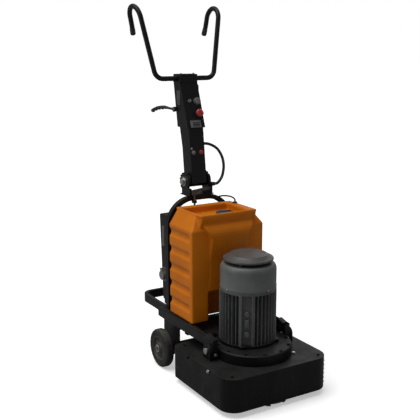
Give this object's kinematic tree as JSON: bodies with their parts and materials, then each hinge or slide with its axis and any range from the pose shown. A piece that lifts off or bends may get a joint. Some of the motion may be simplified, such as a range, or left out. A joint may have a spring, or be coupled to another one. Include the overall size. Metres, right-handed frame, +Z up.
{
  "type": "concrete grinder",
  "caption": "Walk-behind planetary concrete grinder with upright electric motor, water tank, control cabinet and a tilting column with a hooked U-shaped handlebar.",
  "frame": {"origin": "on the floor, at the middle of the machine's bounding box", "axes": "+Z up, +Y towards the operator's side (handle and wheels), -Y towards the grinding head, +X across the machine"},
  "size_m": [0.5784, 1.072, 1.7947],
  "materials": {
    "black_paint": "satin gloss black paint, dusty",
    "motor_paint": "semi-gloss grey-green machine paint",
    "cast_steel": "machined cast steel",
    "bright_steel": "ground steel",
    "tank_plastic": "orange rotationally moulded plastic, fine grain",
    "black_plastic": "moulded black plastic",
    "black_rubber": "black rubber",
    "tyre_rubber": "worn solid rubber tyre",
    "wheel_paint": "worn grey paint",
    "zinc": "zinc plated",
    "grey_plastic": "light grey plastic",
    "red_plastic": "red plastic",
    "drive_electronics": "dark grey plastic housing"
  },
  "bodies": {
    "chassis": {"side_rails": "black_paint", "deck_plate": "black_paint", "cross_members": "black_paint", "tank_mounts": "black_rubber", "axle_plates": "black_paint", "axle": "bright_steel", "rear_loop": "black_paint", "loop_brackets": "black_paint", "arch_frame": "black_paint", "hinge_yoke": "black_paint", "tank": "tank_plastic", "tank_hose": "black_rubber", "cabinet": "black_paint", "cable_glands": "black_plastic", "power_inlet": "grey_plastic", "inverter": "drive_electronics", "frame_bolts": "zinc"},
    "tank_cap": {"tank_cap": "black_plastic"},
    "cabinet_door": {"cabinet_door": "black_paint"},
    "door_latch": {"door_latch": "zinc"},
    "inlet_lid": {"inlet_lid": "grey_plastic"},
    "lock_rod": {"lock_rod": "zinc"},
    "head": {"shroud": "black_paint", "dust_skirt": "black_rubber", "gear_case": "black_paint", "ring_gear": "bright_steel", "motor_flange": "motor_paint", "motor_housing": "motor_paint", "fan_cowl": "motor_paint", "rain_hat": "motor_paint", "terminal_box": "motor_paint", "bearings": "bright_steel", "pivot_pins": "zinc", "head_bolts": "zinc"},
    "rotor": {"motor_shaft": "bright_steel", "rotor_core": "cast_steel", "cooling_fan": "black_plastic"},
    "carrier": {"cup_gear": "bright_steel", "planet_carrier": "cast_steel"},
    "planet_1": {"planet_gear_1": "bright_steel", "grinding_plate_1": "cast_steel"},
    "planet_2": {"planet_gear_2": "bright_steel", "grinding_plate_2": "cast_steel"},
    "planet_3": {"planet_gear_3": "bright_steel", "grinding_plate_3": "cast_steel"},
    "left_wheel": {"left_tyre": "tyre_rubber", "left_hub": "wheel_paint"},
    "right_wheel": {"right_tyre": "tyre_rubber", "right_hub": "wheel_paint"},
    "column": {"column_tube": "black_paint", "control_box": "black_paint", "bar_clamp": "black_paint", "handlebar": "black_paint", "column_bolts": "zinc", "display_panel": "grey_plastic", "signal_lamps": "red_plastic", "conduit": "black_rubber"},
    "release_lever": {"release_lever": "black_paint"},
    "emergency_stop": {"emergency_stop": "red_plastic"},
    "speed_knob": {"speed_knob": "grey_plastic"}
  },
  "joints": [
    {"name": "head_float", "type": "hinge", "parent": "chassis", "child": "head", "pos_m": [0, -0.275, 0.226], "axis": [1, 0, 0], "range_deg": [-1, 2.3]},
    {"name": "carrier_spin", "type": "hinge", "parent": "head", "child": "carrier", "pos_m": [0, -0.303, 0.1], "axis": [0, 0, 1], "continuous": true},
    {"name": "rotor_spin", "type": "hinge", "parent": "head", "child": "rotor", "pos_m": [0, -0.261, 0.3], "axis": [0, 0, 1], "continuous": true},
    {"name": "planet_1_spin", "type": "hinge", "parent": "carrier", "child": "planet_1", "pos_m": [0.10392, -0.243, 0.1], "axis": [0, 0, 1], "continuous": true},
    {"name": "planet_2_spin", "type": "hinge", "parent": "carrier", "child": "planet_2", "pos_m": [-0.10392, -0.243, 0.1], "axis": [0, 0, 1], "continuous": true},
    {"name": "planet_3_spin", "type": "hinge", "parent": "carrier", "child": "planet_3", "pos_m": [0, -0.423, 0.1], "axis": [0, 0, 1], "continuous": true},
    {"name": "left_wheel_spin", "type": "hinge", "parent": "chassis", "child": "left_wheel", "pos_m": [-0.246, 0.145, 0.098], "axis": [1, 0, 0], "continuous": true},
    {"name": "right_wheel_spin", "type": "hinge", "parent": "chassis", "child": "right_wheel", "pos_m": [0.246, 0.145, 0.098], "axis": [1, 0, 0], "continuous": true},
    {"name": "column_tilt", "type": "hinge", "parent": "chassis", "child": "column", "pos_m": [0, 0.227, 0.922], "axis": [-1, 0, 0], "range_deg": [0, 50], "deforming": ["conduit"]},
    {"name": "lever_squeeze", "type": "hinge", "parent": "column", "child": "release_lever", "pos_m": [-0.059, 0.335, 1.277], "axis": [1, 0, 0], "range_deg": [0, 20], "stiffness_Nm_per_rad": 4, "springref_deg": -8.59},
    {"name": "lock_rod_slide", "type": "slide", "parent": "chassis", "child": "lock_rod", "axis": [0, 0, -1], "range_m": [0, 0.008]},
    {"name": "stop_press", "type": "slide", "parent": "column", "child": "emergency_stop", "axis": [0, 0.9421, -0.3353], "range_m": [0, 0.006]},
    {"name": "speed_turn", "type": "hinge", "parent": "column", "child": "speed_knob", "pos_m": [0.026, 0.2566, 1.31813], "axis": [0, -0.9421, 0.3353], "range_deg": [-135, 135]},
    {"name": "cap_turn", "type": "hinge", "parent": "chassis", "child": "tank_cap", "pos_m": [0.06, 0.039, 0.78], "axis": [0, 0, 1], "range_deg": [0, 90]},
    {"name": "door_swing", "type": "hinge", "parent": "chassis", "child": "cabinet_door", "pos_m": [0.149, 0.30698, 0.514], "axis": [0, -0.063, -0.998], "range_deg": [0, 105]},
    {"name": "latch_turn", "type": "hinge", "parent": "cabinet_door", "child": "door_latch", "pos_m": [-0.129, 0.30698, 0.514], "axis": [0, 0.998, -0.063], "range_deg": [0, 90]},
    {"name": "lid_lift", "type": "hinge", "parent": "chassis", "child": "inlet_lid", "pos_m": [-0.18, 0.265, 0.469], "axis": [0, 1, 0], "range_deg": [0, 90], "stiffness_Nm_per_rad": 0.08, "springref_deg": -22.92}
  ],
  "couplings": [
    {"joint": "rotor_spin", "follows": "carrier_spin", "ratio": 2},
    {"joint": "planet_1_spin", "follows": "carrier_spin", "ratio": -2.6667},
    {"joint": "planet_2_spin", "follows": "carrier_spin", "ratio": -2.6667},
    {"joint": "planet_3_spin", "follows": "carrier_spin", "ratio": -2.6667},
    {"joint": "lock_rod_slide", "follows": "lever_squeeze", "m_per_rad": 0.0229}
  ]
}
